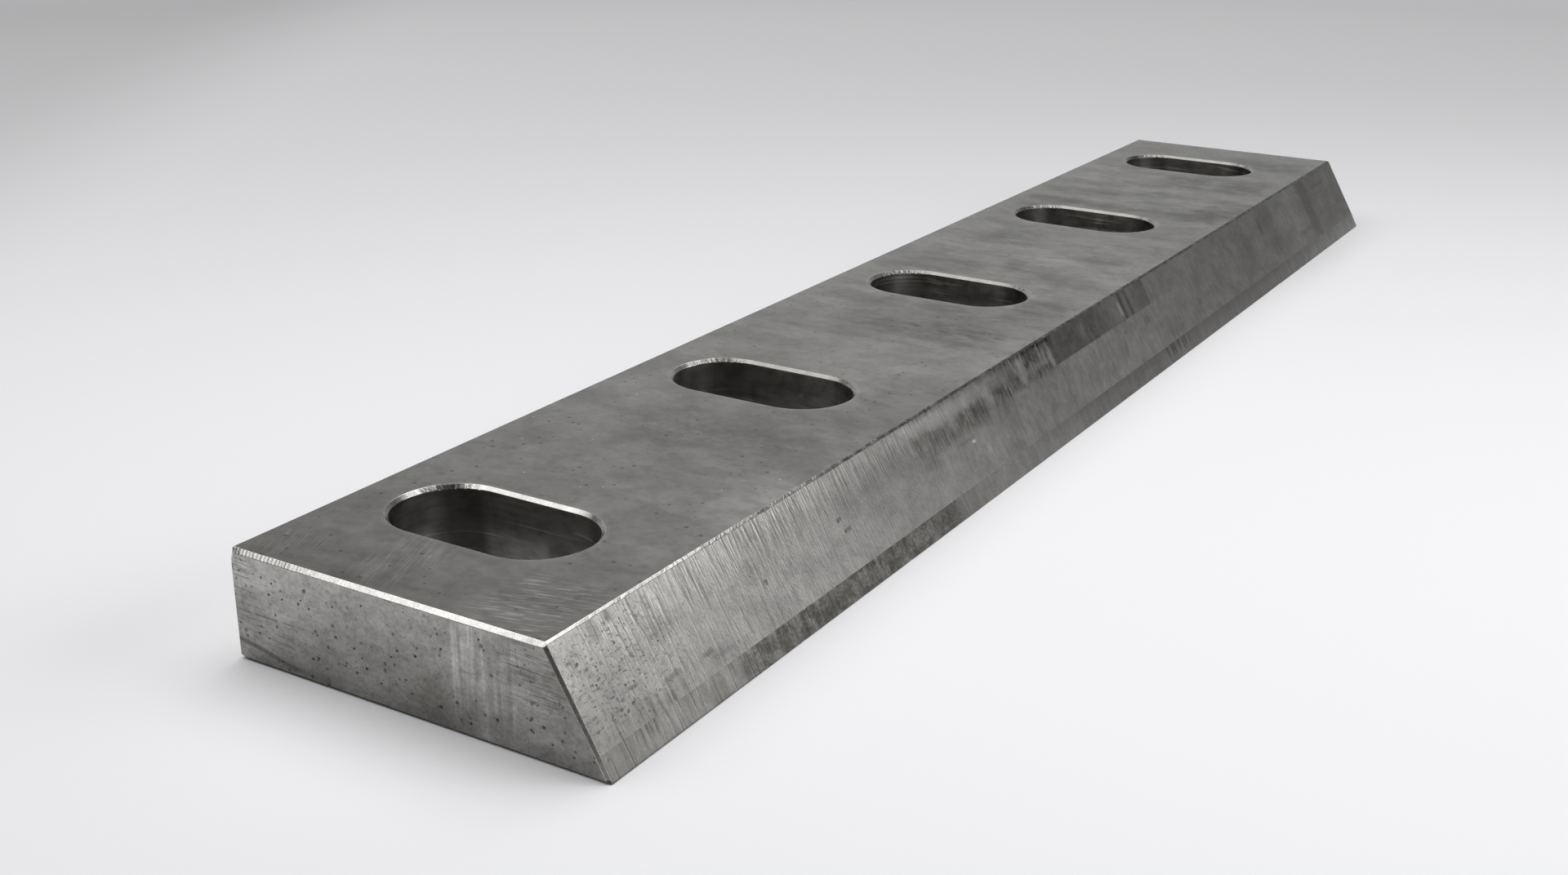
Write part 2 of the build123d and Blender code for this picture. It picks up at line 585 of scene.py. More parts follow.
# The parts of the faces where pits may lie, as two corners, and what keeps them off the edges
top_corners = (low_x, ridge_y), (high_x, back_y)
seat_corners = (low_x, cutting_y), (high_x, back_y - 2)
bevel_corners = (low_x + 1.2, 0.4), (high_x - 1.2, runs[LAND_TOP].length - 0.5)
back_corners = (low_x, 1), (high_x, thickness)


def clear_of_top(place, radius):
    return inside_box(place, *top_corners) > 1.6 + radius and from_rim(place) > 0.4 + radius


def clear_of_seat(place, radius):
    return inside_box(place, *seat_corners) > 2 and from_rim(place) > radius


def clear_of_bevel(place, radius):
    return inside_box(place, *bevel_corners) > radius


def clear_of_back(place, radius):
    return inside_box(place, *back_corners) > 1.2 + radius


def clear_of_end(place, radius):
    front = (cutting_y + place.y / tan(bevel_angle) - place.x) * sin(bevel_angle)
    within = 1.4 + radius < place.y < thickness - 1.4 - radius
    return within and front < -1.2 - radius and place.x < back_y - 1.1 - radius


def on_slope(side):
    """How the points of the bevel or the land are laid flat, and how they are put back."""

    def to_flat(point):
        return Vector((point[0], (Vector(point[1:]) - corners[side]).dot(ways[side])))

    def to_place(place, sunk):
        spot = corners[side] + ways[side] * place.y + inward[side] * sunk
        return place.x, spot.x, spot.y

    return to_flat, to_place


def on_level(height, sign):
    """The same for the seat and the top face. Pits sink upwards where the sign is 1."""
    return lambda point: Vector(point[:2]), lambda place, sunk: (place.x, place.y, height + sign * sunk)


# Deeper specks in the top face: (x, y)
top_specks = [
    (-158.5, 19.5), (-137.5, 19.3), (-123.5, 14.0), (-125.8, 5.0), (-156.5, 2.5), (-158.7, 6.1),
    (-166.4, 36.4), (-160.0, -15.0), (-146.0, -16.8), (-144.5, 31.4), (-110.5, 28.0), (-62.0, 30.0),
]
top_specks = [(Vector(place), draw.uniform(0.22, 0.34), 0.12) for place in top_specks]
pits = scattered(70, *top_corners, (0.1, 0.28), clear_of_top, top_specks)
fill(face_border(TOP_FRONT), *on_level(thickness, -1), "top_face", pits, top_rims, 8.0, clear_of_top)

pits = scattered(
    40,
    (low_x, cutting_y),
    (high_x, back_y),
    (0.12, 0.3),
    lambda place, radius: clear_of_seat(place, radius + 1),
)
fill(face_border(SEAT_BACK), *on_level(0.0, 1), "hidden_face", pits, seat_rims, 8.0, clear_of_seat)

# Pits on the bevel near the viewer: (from the near end, down from the ridge, radius)
bevel_marks = [
    (8.0, 7.0, 0.3), (4.6, 5.0, 0.35), (6.4, 9.5, 0.32), (12.2, 12.0, 0.3), (14.3, 12.3, 0.26),
    (4.2, 12.2, 0.24), (23.3, 9.0, 0.36), (14.6, 17.7, 0.26), (32.6, 6.1, 0.26), (55.0, 11.4, 0.34),
    (51.6, 8.6, 0.26), (82.2, 9.2, 0.42), (83.0, 11.6, 0.36), (17.8, 3.6, 0.22), (10.4, 4.0, 0.2),
    (20.4, 14.2, 0.22),
]
slope_length = runs[LAND_TOP].length
bevel_marks = [(Vector((low_x + x, slope_length - down)), size, size * 0.45) for x, down, size in bevel_marks]
pits = scattered(75, (low_x, 0), (high_x, slope_length), (0.1, 0.26), clear_of_bevel, bevel_marks)
fill(face_border(LAND_TOP), *on_slope(LAND_TOP), "bevel_face", pits, (), 6.0, clear_of_bevel)
fill(face_border(CUTTING), *on_slope(CUTTING), "land_face", spacing=2.3)

pits = scattered(40, *back_corners, (0.12, 0.3), clear_of_back)
fill(
    face_border(BACK_TOP),
    lambda point: Vector((point[0], point[2])),
    lambda place, sunk: (place.x, back_y - sunk, place.y),
    "hidden_face",
    pits,
)

# Pits on the near end: (from the back face, down from the top face, radius)
end_marks = [
    (2.0, 3.8, 0.2), (7.2, 3.8, 0.26), (9.6, 4.4, 0.24), (8.7, 6.7, 0.3), (11.8, 6.8, 0.24),
    (15.6, 6.7, 0.3), (16.2, 5.9, 0.22), (18.0, 7.0, 0.24), (17.3, 3.8, 0.2), (23.5, 5.2, 0.22),
    (30.1, 3.3, 0.24), (5.6, 14.7, 0.24), (7.8, 15.2, 0.2), (9.8, 10.3, 0.22), (19.5, 11.5, 0.24),
    (23.7, 10.7, 0.3), (18.0, 16.3, 0.26), (19.5, 15.8, 0.22), (25.5, 15.6, 0.22), (27.8, 11.7, 0.28),
    (30.3, 14.7, 0.3), (28.0, 16.1, 0.3), (33.4, 16.6, 0.26), (36.0, 11.0, 0.24), (37.4, 9.5, 0.28),
    (38.9, 14.4, 0.26), (41.3, 9.4, 0.36), (41.8, 7.8, 0.2), (46.9, 6.6, 0.28), (46.2, 17.2, 0.34),
    (52.4, 18.4, 0.32), (58.0, 16.0, 0.26), (64.7, 14.1, 0.24), (64.8, 15.8, 0.26), (67.3, 14.6, 0.36),
    (69.0, 17.2, 0.24), (73.4, 17.1, 0.24), (71.6, 11.7, 0.22), (55.0, 2.7, 0.26), (53.8, 13.9, 0.18),
]
end_marks = [(Vector((back_y - back, thickness - down)), size) for back, down, size in end_marks]
end_marks = [(place, size * 1.3, size * 0.5) for place, size in end_marks if clear_of_end(place, size * 1.3)]
ends = ((low_x, 1, "end_face", end_marks), (high_x, -1, "hidden_face", []))
for end, (end_x, way_in, finish, marks) in enumerate(ends):
    pits = scattered(70, (cutting_y, 0), (back_y, thickness), (0.08, 0.2), clear_of_end, marks)
    border = list(dict.fromkeys(p for side in range(8) for p in ring_points[end, side, 0]))
    fill(
        border,
        lambda point: Vector(point[1:]),
        lambda place, sunk: (end_x + way_in * sunk, place.x, place.y),
        finish,
        pits,
        spacing=5.0,
        inside=clear_of_end,
    )

knife_mesh = bpy.data.meshes.new("knife_bar")
knife_mesh.from_pydata([[c / MM for c in p] for p in points], [], [face[0] for face in faces])
for name in finish_names:
    knife_mesh.materials.append(finishes[name])
knife_mesh.polygons.foreach_set("material_index", [finish_names.index(face[1]) for face in faces])
knife_mesh.polygons.foreach_set("use_smooth", [face[2] for face in faces])
knife_mesh.attributes.new("dirt", "FLOAT", "POINT").data.foreach_set("value", dirt)
shell = bmesh.new()
shell.from_mesh(knife_mesh)
bmesh.ops.remove_doubles(shell, verts=shell.verts, dist=2e-6)
bmesh.ops.delete(shell, geom=[v for v in shell.verts if not v.link_faces], context="VERTS")
bmesh.ops.recalc_face_normals(shell, faces=shell.faces)
shell.to_mesh(knife_mesh)
shell.free()
knife = bpy.data.objects.new("knife_bar", knife_mesh)
bpy.context.scene.collection.objects.link(knife)
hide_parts("knife")
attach(knife, "root")


# Finishes: all the faces are ground tool steel under a thin film of oil and oxide. Each reads its own
# place on the knife in mm, so that lines, stains and pits lie where grinding and use leave them.
def noise_at(vector, detail=2.0, roughness=0.5, scale=1.0, output=0):
    feeds = {"Vector": vector, "Scale": scale, "Detail": detail, "Roughness": roughness}
    return result("ShaderNodeTexNoise", feeds, output)


def mixed(share, first, second):
    return result("ShaderNodeMix", {0: share, 2: first, 3: second})


# Clouds of oxide and oil with torn borders
cloud_inputs = {"Place": (VECTOR, None), "Seed": (FLOAT, 0.0), "Low": (FLOAT, 0.4), "High": (FLOAT, 0.7)}
blotch, get = new_tree("stain_clouds", "ShaderNodeTree", cloud_inputs, {"Mask": FLOAT})
moved = vectors("ADD", get["Place"], xyz(get["Seed"], get["Seed"], get["Seed"]))
warp = vectors("SUBTRACT", noise_at(moved, 1.0, scale=1.3, output="Color"), (0.5, 0.5, 0.5))
cloud = noise_at(vectors("ADD", moved, scaled(warp, 0.9)), 5.0, 0.6)
put(blotch, "NodeGroupOutput", {"Mask": smooth(cloud, get["Low"], get["High"])})

# Lines of a grinding wheel: fine ones in bundles, and single scores, each a dark line with a painted
# highlight, the glint, beside it
line_inputs = {
    "Across": (FLOAT, 0.0),
    "Along": (FLOAT, 0.0),
    "Pitch": (FLOAT, 0.3),
    "Run": (FLOAT, 12.0),
    "Share": (FLOAT, 0.3),
    "Seed": (FLOAT, 0.0),
}
line_outputs = dict.fromkeys(("Shade", "Height", "Scores", "Glints"), FLOAT)
grinding, get = new_tree("grinding_lines", "ShaderNodeTree", line_inputs, line_outputs)
across, along = get["Across"] / get["Pitch"], get["Along"] / get["Run"]


def line_noise(finer, longer, detail, seed, shift=0.0):
    return noise_at(xyz(across * finer + shift, along * longer, get["Seed"] + seed), detail, 0.65)


fine, bundle = line_noise(1.0, 1.0, 2.0, 0.0), line_noise(0.09, 0.7, 2.0, 9.0)
fine_shade = (fine - 0.5) * (smooth(bundle, 0.35, 0.65) * 1.6 + 0.5)
start = 0.74 - get["Share"] * 0.2
# The glints are painted highlights: the scores' own pattern, shifted to one side
scores, glints = (line_noise(0.6, 0.8, 0.0, 20.0, shift) for shift in (0.0, 0.32))
scores, glints = (smooth(value, start, start + 0.06) for value in (scores, glints))
shown = {
    "Shade": (bundle - 0.5) * 0.9 + fine_shade,
    "Height": fine_shade * 0.5 + 0.5 - scores * 0.5,
    "Scores": scores,
    "Glints": glints,
}
put(grinding, "NodeGroupOutput", shown)

# Fine rust pits, too small to model
pit_inputs = {
    "Place": (VECTOR, None),
    "Spacing": (FLOAT, 3.0),
    "Size": (FLOAT, 0.2),
    "Share": (FLOAT, 0.5),
    "Seed": (FLOAT, 0.0),
}
pitting, get = new_tree("rust_pits", "ShaderNodeTree", pit_inputs, {"Mask": FLOAT})
spread = vectors("ADD", scaled(get["Place"], 1.0 / get["Spacing"]), xyz(get["Seed"], 0.0, get["Seed"]))
cells = by_name(put(pitting, "ShaderNodeTexVoronoi", {"Vector": spread, "Scale": 1.0}))
chance, tint, _ = parts_of(cells["Color"], "ShaderNodeSeparateColor")
radius = get["Size"] / get["Spacing"] * (tint * 0.9 + 0.35)
torn = noise_at(get["Place"], 1.0, scale=4.0) * 0.8 + 0.6
inside = smooth(cells["Distance"] / radius, torn, torn * 0.45)
put(pitting, "NodeGroupOutput", {"Mask": inside * (chance < get["Share"])})

# A patch with soft borders at one place on a face
sides = ("Place", "Centre", "Outer", "Inner")
patch_inputs = {f"{side} {way}": (FLOAT, 0.0) for side in sides for way in ("along", "down")}
patch, get = new_tree("worn_patch", "ShaderNodeTree", patch_inputs, {"Mask": FLOAT})
inside = 1.0
for way in ("along", "down"):
    off = abs(get[f"Place {way}"] - get[f"Centre {way}"])
    inside = smooth(off, get[f"Outer {way}"], get[f"Inner {way}"]) * inside
put(patch, "NodeGroupOutput", {"Mask": inside})

bump = 0.02  # how much height, in mm, is one unit for the bump
steel_hue, oxide_hue = (1.016, 1.0, 0.962), (1.03, 1.0, 0.91)  # of the light and of the dark tones


class Finish:
    """The material of one kind of face, built up from a tone and a height."""

    def __init__(self, name):
        self.material = finishes[name]
        self.material.use_nodes = True
        self.tree = self.material.node_tree
        self.shader = self.tree.nodes["Principled BSDF"]
        feed(self.shader, {"Metallic": 1.0, "Base Color": (0.43, 0.43, 0.42, 1.0)})
        self.place = scaled(by_name(put(self.tree, "ShaderNodeTexCoord"))["Object"], MM)
        self.x, self.y, self.z = parts_of(self.place)
        self.tone = self.height = None

    def on_face(self, u, v, other=0.0):
        """Sets the face's own flat coordinates: along it and down it, in mm."""
        self.u, self.v = u, v
        self.flat = xyz(u, v, other)
        self.torn_places = {}

    def dirt(self):
        """How much dirt lies in the modelled pits."""
        kept = put(self.tree, "ShaderNodeAttribute", attribute_name="dirt", attribute_type="GEOMETRY")
        return by_name(kept)["Fac"]

    def group(self, tree, feeds):
        return by_name(put(self.tree, "ShaderNodeGroup", feeds, node_tree=tree))

    def clouds(self, size, low, high, seed=0.0):
        """Clouds of a size in mm, from 0 where their noise is low to 1 where it is high."""
        feeds = {"Place": vectors("DIVIDE", self.flat, size), "Seed": seed, "Low": low, "High": high}
        return self.group(blotch, feeds)["Mask"]

    def mottle(self, *rows):
        """Clouds over the whole face: (size, low, high, seed, strength)."""
        for *cloud, strength in rows:
            self.times(self.clouds(*cloud), strength)

    def lines(self, across, along, pitch, run, seed=0.0, share=0.3):
        """Grinding lines, a pitch apart across them and a run long. The share is how many are scores."""
        feeds = {"Across": across, "Along": along, "Pitch": pitch, "Run": run, "Seed": seed, "Share": share}
        return self.group(grinding, feeds)

    def pits(self, spacing, size, share, seed=0.0):
        """Rust pits of a size in mm, in this share of the places that are a spacing apart."""
        feeds = {"Place": self.place, "Spacing": spacing, "Size": size, "Share": share, "Seed": seed}
        return self.group(pitting, feeds)["Mask"]

    def torn_place(self, torn):
        """The face's coordinates, shaken about by up to some mm so that borders look torn."""
        if not self.torn_places:
            shaken = vectors("MULTIPLY", self.flat, (0.45, 0.45, 0.0))
            shaken = parts_of(noise_at(shaken, 4.0, 0.6, output="Color"), "ShaderNodeSeparateColor")
            self.tear = [way - 0.5 for way in shaken[:2]]
        if torn not in self.torn_places:
            places = zip(self.tear, (self.u, self.v))
            self.torn_places[torn] = [tear * (2.0 * torn) + place for tear, place in places]
        return self.torn_places[torn]

    def patch(self, u0, u1, v0, v1, soft, torn=1.0):
        """A mask that is 1 from u0 to u1 along the face and from v0 to v1 down it.

        Soft is the width of its border in mm, or two widths, and torn is how far the border strays.
        """
        softs = soft if isinstance(soft, tuple) else (soft, soft)
        feeds = {}
        borders = zip(("along", "down"), self.torn_place(torn), (u0, v0), (u1, v1), softs)
        for way, place, low, high, border in borders:
            feeds[f"Place {way}"] = place
            feeds[f"Centre {way}"] = (low + high) / 2
            feeds[f"Outer {way}"] = (high - low + border) / 2
            feeds[f"Inner {way}"] = (high - low - border) / 2
        return self.group(patch, feeds)["Mask"]

    def patches(self, *rows):
        """Patches added up: (u0, u1, v0, v1, soft, torn, strength)."""
        total = None
        for *borders, strength in rows:
            value = self.patch(*borders) * strength
            total = value if total is None else total + value
        return total

    def round_slot(self):
        """A place's angle round the nearest slot, 0 towards the far end, and how far it is from the wall."""
        across = maths("WRAP", self.x, slot_pitch / 2, -slot_pitch / 2)
        arc = along_slot(self.y - slot_y, (slot_length - slot_width) / 2)
        off = vectors("LENGTH", xyz(across, arc), output="Value")
        return maths("DEGREES", maths("ARCTAN2", arc, across)), off - slot_width / 2

    def level(self, value, *stops):
        """A curve of straight lines through stops: (value, result)."""
        low, high = stops[0][0], stops[-1][0]
        share = result("ShaderNodeMapRange", {"Value": value, 1: low, 2: high})
        curve = put(self.tree, "ShaderNodeValToRGB", {0: share})
        elements = curve.color_ramp.elements
        while len(elements) < len(stops):
            elements.new(0.5)
        for element, (at, reached) in zip(elements, stops):
            element.position = (at - low) / (high - low)
            element.color = (reached, reached, reached, 1)
        return parts_of(Value(curve.outputs[0]), "ShaderNodeSeparateColor")[0]

    def times(self, value, strength=None):
        """Multiplies the tone by a value, or by 1 + strength * value."""
        if strength is not None:
            value = value * strength + 1.0
        self.tone = value if self.tone is None else self.tone * value

    def lay(self, lines, mask, **strengths):
        """Lays some of the outputs of a group of lines over the tone, where the mask is."""
        for name, strength in strengths.items():
            self.times(lines[name] * mask, strength)

    def raise_by(self, value, depth):
        """Raises the surface by a value times a depth in mm."""
        value = value * (depth / bump)
        self.height = value if self.height is None else self.height + value

    def done(self, roughness):
        """Feeds the shader: tone to Base Color, roughness, and height to its normal."""
        tone = maths("MAXIMUM", self.tone, 0.01)
        clean = smooth(tone, 0.08, 0.36)
        hue = result("ShaderNodeMix", {0: clean, 4: oxide_hue, 5: steel_hue}, output=1, data_type="VECTOR")
        feed(self.shader, {"Base Color": scaled(hue, tone), "Roughness": roughness})
        if self.height is not None:
            feeds = {"Height": self.height, "Distance": bump / MM, "Strength": 1.0}
            feed(self.shader, {"Normal": result("ShaderNodeBump", feeds)})


# Top face: flat ground, dull with oil clouds, with streaks of stain across it between the far slots,
# small rust specks, and light scratches at its near corners
top = Finish("top_face")
top.on_face(top.x - low_x, back_y - top.y)
top.times(top.level(
    top.u, (0, 0.27), (20, 0.34), (60, 0.4), (110, 0.45), (200, 0.51), (260, 0.51), (425, 0.49),
))
top.mottle(
    ((30, 45, 30), 0.35, 0.7, 3.0, -0.12),
    ((9, 13, 10), 0.4, 0.66, 11.0, -0.16),
    ((3.2, 4, 5), 0.4, 0.7, 31.0, -0.13),
    ((1.2, 1.6, 1.5), 0.38, 0.72, 44.0, -0.12),
)
stained = top.clouds((6, 22, 10), 0.46, 0.64, 7.0) * top.patch(160, 400, 4, 66, 20, 6)
top.times(stained, -0.2)
smudges = top.patches(
    (170, 200, 18, 62, (9, 14), 4, 0.12), (174, 183, 38, 62, (7, 10), 3, 0.14),
    (200, 214, 52, 65, (6, 6), 3, 0.22), (228, 242, 11, 30, 9, 4, 0.12),
    (235, 246, 33, 38, (6, 3), 2, 0.16), (229, 241, 45, 62, 7, 4, 0.13),
    (255, 261, 48, 60, (4, 6), 3, 0.16), (262, 280, 14, 30, 9, 4, 0.14), (300, 312, 6, 30, 8, 4, 0.12),
    (317, 324, 4, 62, (5, 8), 3, 0.22), (314, 332, 54, 66, (7, 6), 3, 0.24), (331, 340, 5, 30, 7, 3, 0.18),
    (336, 348, 30, 42, (7, 6), 3, 0.14), (358, 374, 31, 46, (8, 6), 3, 0.22),
    (358, 376, 50, 64, (8, 7), 3, 0.22), (396, 412, 40, 66, (8, 8), 3, 0.2),
    (82, 142, 53, 70, (12, 8), 4, 0.1), (322, 346, 56, 70, (7, 6), 3, 0.2),
    (76, 108, 20, 52, (14, 14), 5, 0.12), (350, 378, -6, 14, 8, 5, -0.14),
    (52, 80, 59, 70, (8, 5), 2, -0.18), (140, 160, 34, 52, (10, 10), 4, -0.08),
    (244, 262, 36, 46, (10, 6), 4, -0.08),
)
smeared = top.clouds((4, 7, 5), 0.34, 0.62, 47.0) * 0.9 + 0.5
top.times(maths("MINIMUM", smudges * smeared, 0.34), -1.35)
off_slot = top.round_slot()[1]
top.times(smooth(off_slot, 2.0, 0.9), 0.14)
fine = top.lines(top.u, top.v, 0.35, 9.0, 2.0)
top.times(fine["Shade"], 0.05)
top.times(top.pits(2.1, 0.46, 0.45, 5.0), -0.5)
top.times(top.dirt(), -0.72)
scuffed = top.patch(0, 19, 50, 67, (7, 6), 2)
slanted = top.v * -0.3 + top.u
scratches = top.lines(slanted, top.v, 0.28, 4.0, 8.0, 0.9)
top.lay(scratches, scuffed, Glints=0.55, Shade=0.35)
rubbed = top.patch(1, 24, 22, 34, 6, 2) + top.patch(1, 12, 2, 14, 5, 2)
crossing = top.u * 0.35 + top.v
arcs = top.lines(crossing, top.u, 0.4, 7.0, 14.0, 0.5)
top.lay(arcs, rubbed, Shade=0.9)
top.raise_by(fine["Height"], 0.004)
top.raise_by(top.clouds((1.2, 1.2, 1.2), 0.2, 0.8, 40.0), 0.004)
top.done(top.level(top.clouds((9, 18, 9), 0.3, 0.7, 21.0), (0, 0.29), (1, 0.37)))

# Ends: sawn and ground across, with rust pits, soft rubbed streaks down the front half, fine drag lines
# at both sides, and painted shade that darkens them towards the foot
end = Finish("end_face")
end.on_face(back_y - end.y, thickness - end.z, maths("SIGN", end.x) * 40.0)
# Painted shade: darker towards the foot of the end
end.times(end.level(end.v, (0, 0.48), (7, 0.395), (13, 0.355), (18, 0.325), (21, 0.31)))
end.times(end.level(end.u, (0, 1.17), (12, 1.13), (25, 1.08), (36, 0.96), (62, 0.95), (80, 0.97)))
end.mottle(
    ((13, 8, 10), 0.38, 0.66, 2.0, -0.16),
    ((3, 2.2, 3), 0.42, 0.66, 17.0, -0.2),
    ((0.9, 0.8, 1), 0.4, 0.66, 37.0, -0.2),
)
end.times(end.patch(44, 54, 11, 21, (6, 8), 2.5), -0.12)
end.times(end.patch(8, 50, 14, 21, (14, 8), 3), -0.1)
down_lines = end.lines(end.u, end.v, 0.4, 14.0, 3.0, 1.0)
rubbed = end.patches(
    (56.5, 61.5, -1, 10, (3, 4), 1, -0.14), (63, 70, 10, 17, (4, 4), 1, 0.18),
    (42, 47.5, 13, 21, (4, 5), 1.5, -0.08), (33, 47, 16, 22, (8, 4), 2, -0.12),
    (25, 34, 6, 13, (5, 5), 2, -0.1), (11, 25, 13, 22, (8, 6), 2, -0.1), (66, 75, 18, 21, (5, 2), 1, -0.14),
    (60, 73, -2, 7, (5, 4), 1.2, -0.16), (-3, 7, 15, 22, (4, 3), 1, -0.12),
    (14, 30, 1, 8, (8, 4), 2, -0.08), (4, 24, 18.8, 22, (8, 1.6), 0.6, -0.24),
    (18, 48, 9.5, 15, (8, 3), 2, -0.14), (0, 38, 0, 7, (8, 3), 2, 0.08),
    (46, 54, 16, 22, (4, 4), 1.5, -0.14),
)
end.times(rubbed, 1.0)
streaked = end.patches(
    (49.1, 50.6, 1, 14, (0.7, 7), 0.3, 0.3), (51.0, 54.1, -1, 10, (0.9, 7), 0.3, 0.3),
    (51.4, 53.8, 3, 12, (1, 5), 0.3, 0.12), (52.6, 53.4, -1, 4, (0.4, 3), 0.2, 0.24),
    (54.4, 56.6, 8, 21, (0.9, 7), 0.3, 0.16), (55.1, 55.9, 8, 21, (0.4, 6), 0.2, 0.2),
    (57.6, 58.2, 4, 14, (0.4, 5), 0.2, 0.12), (59.1, 60.1, 3, 15, (0.5, 6), 0.2, 0.2),
    (61.2, 62.2, 2, 15, (0.5, 6), 0.2, 0.18), (60.2, 62.4, 11, 14, (1.5, 2), 0.4, 0.16),
)
fibrous = down_lines["Shade"] * 1.5 + 1.0
end.times(streaked * fibrous, 1.0)
rub = end.patch(49, 62.5, 0, 18, (1.5, 9), 1)
end.lay(down_lines, rub, Shade=0.3, Glints=0.16)
side_lines = end.lines(end.u * -0.03 + end.v, end.u, 0.2, 6.0, 6.0, 0.8)
drag = end.patch(59, 72, 1.5, 12, (4, 3), 1) + end.patch(-2, 4.5, 1, 8.5, (3, 3), 1)
end.lay(side_lines, drag, Scores=-0.34, Shade=0.7)
end.lay(side_lines, end.patch(-2, 16, 9.5, 17, (5, 3), 1), Scores=-0.24)
bow = end.level(end.u, (0, 0.805), (6, 0.85), (12, 0.915), (22, 0.955)) * thickness
bow = smooth(abs(end.v - bow), 0.75, 0.1) * smooth(end.u, 24, 4)
end.times(bow, -0.52)
dashes = smooth(abs(end.v - 11.3), 0.35, 0.1) * smooth(end.u, 19, 12)
end.times(dashes * end.clouds((1.4, 3, 1), 0.44, 0.52, 57.0), -0.36)
end.times(end.pits(1.9, 0.46, 0.6, 3.0), -0.56)
end.times(end.pits(0.8, 0.2, 0.6, 9.0), -0.36)
end.times(end.dirt(), -0.78)
end.raise_by(end.clouds((0.6, 0.6, 0.6), 0.2, 0.8, 50.0), 0.014)
end.raise_by(down_lines["Height"], 0.005)
end.done(end.level(end.clouds((6, 4, 6), 0.3, 0.7, 23.0), (0, 0.36), (1, 0.46)))

# Bevel: coarsely ground down the slope. Fresh and light at the near end, with leathery grain, pits and
# grinding lines, then dull under oxide, with a stained band along the ridge past the middle
slope = 1 / sin(bevel_angle)
bevel = Finish("bevel_face")
bevel.on_face(bevel.x - low_x, (thickness - bevel.z) * slope)
bevel.times(bevel.level(
    bevel.u, (0, 0.6), (30, 0.54), (60, 0.45), (100, 0.4), (170, 0.42), (215, 0.4), (262, 0.38),
    (300, 0.34), (352, 0.35), (373, 0.4), (390, 0.34), (425, 0.35),
))
near_top = smooth(bevel.v, 8, 1) * smooth(bevel.u, 150, 122)
bevel.times(near_top, 0.24)
near_foot = smooth(bevel.v, 9, 16) * smooth(bevel.u, 70, 40)
bevel.times(near_foot, -0.14)
bevel.times(bevel.patch(-5, 16, 7.5, 22, (16, 5), 2), -0.15)
ground = bevel.lines(bevel.u, bevel.v, 0.5, 9.0, 5.0, 0.8)
run_out = bevel.lines(bevel.u, bevel.v, 0.42, 7.0, 45.0, 1.0)
fine_ground = bevel.lines(bevel.u, bevel.v, 0.24, 9.0, 25.0, 0.4)
fresh = bevel.level(bevel.u, (0, 0.75), (18, 1.0), (80, 0.85), (125, 0.45), (165, 0.3), (425, 0.22))
scored = bevel.level(
    bevel.u, (0, 0.2), (14, 0.6), (22, 1.0), (80, 0.9), (120, 0.4), (165, 0.25), (425, 0.15),
)
scored = scored * smooth(bevel.v, 5, 13, 1.0, 0.6)
bevel.lay(ground, fresh, Shade=0.34)
bevel.lay(ground, scored, Scores=-0.36, Glints=0.36)
bevel.lay(fine_ground, fresh, Shade=0.24)
by_ridge = bevel.level(bevel.u, (0, 0), (14, 0.6), (50, 1.2), (78, 1.3), (125, 0.6), (170, 0))
by_ridge = by_ridge * smooth(bevel.v, 10, 3)
bevel.lay(run_out, by_ridge, Scores=-0.34, Glints=0.34)
dripping = bevel.level(bevel.u, (0, 0.3), (20, 0.5), (30, 1), (60, 1), (80, 0))
bevel.times(bevel.clouds((1.1, 5, 2), 0.5, 0.68, 54.0) * dripping, -0.16)
bevel.mottle(
    ((10, 6, 8), 0.4, 0.64, 4.0, -0.14),
    ((1.6, 2.2, 2), 0.4, 0.68, 34.0, -0.15),
)
crusted = bevel.patch(-3, 26, 1, 18, (20, 5), 2)
bevel.times(bevel.clouds((1.2, 0.6, 1), 0.55, 0.62, 14.0) * crusted, -0.46)
bevel.times(bevel.pits(1.7, 0.4, 0.5, 16.0) * crusted, -0.52)
merged = smooth(bevel.v, 15, 18.8) * smooth(bevel.u, 38, 18)
bevel.times(merged, -0.14)
lapped = bevel.lines(bevel.u, bevel.v, 0.42, 9.0, 15.0, 0.5)
bevel.lay(lapped, merged, Scores=-0.38, Shade=0.4)
streaks = bevel.clouds((0.9, 7, 3), 0.38, 0.6, 8.0)
bevel.times(streaks * smooth(bevel.u, 110, 160), -0.12)
mottled = bevel.clouds((3, 2.4, 4), 0.38, 0.6, 18.0)
whiskers = bevel.clouds((0.35, 5, 1), 0.46, 0.64, 68.0)
uneven = streaks * 0.6 + mottled * 0.45 + 0.5 - whiskers * 0.5
stains = bevel.patches(
    (80, 128, -2, 0.5, (6, 0.4), 0.25, 0.45), (118, 190, -2, 1.3, (6, 1.2), 0.9, 0.32),
    (116, 124.5, 3.4, 11.5, (4, 2), 1.2, 0.26), (124, 151, 4.8, 9.4, (4, 2), 1.2, 0.26),
    (137, 149.5, 4.4, 8.2, (4, 2), 1.6, 0.12), (152.5, 162, 3.2, 9.6, (4, 4), 1.8, 0.3),
    (155, 160.5, 4.2, 7.4, (3, 2), 1.4, 0.14), (161, 169, 4.2, 7.4, (3, 2), 1.5, 0.2),
    (162, 188, -3, 8, (6, 2), 2, 0.26), (171, 186, 5.6, 7.6, (3, 1.6), 1.4, 0.2),
    (104, 150, 1.1, 4.2, (8, 1.6), 1.2, -0.14), (149.8, 153, 3, 9, (1.4, 2), 1.4, -0.2),
    (161, 182, 1.2, 3.8, (5, 1.8), 1.6, 0.1), (169, 171.5, 1.5, 7.5, (1.6, 3), 1.6, -0.36),
    (184.8, 186.8, 3.4, 7, (1.4, 2.4), 1.4, -0.4), (175, 183, 3.4, 6, (3, 2), 1.6, -0.12),
    (172, 189, -2, 4.6, (3, 2), 1.6, 0.26), (116, 168, 3.8, 8, (6, 2), 1.6, 0.1),
)
bevel.times(stains * uneven, -1.0)
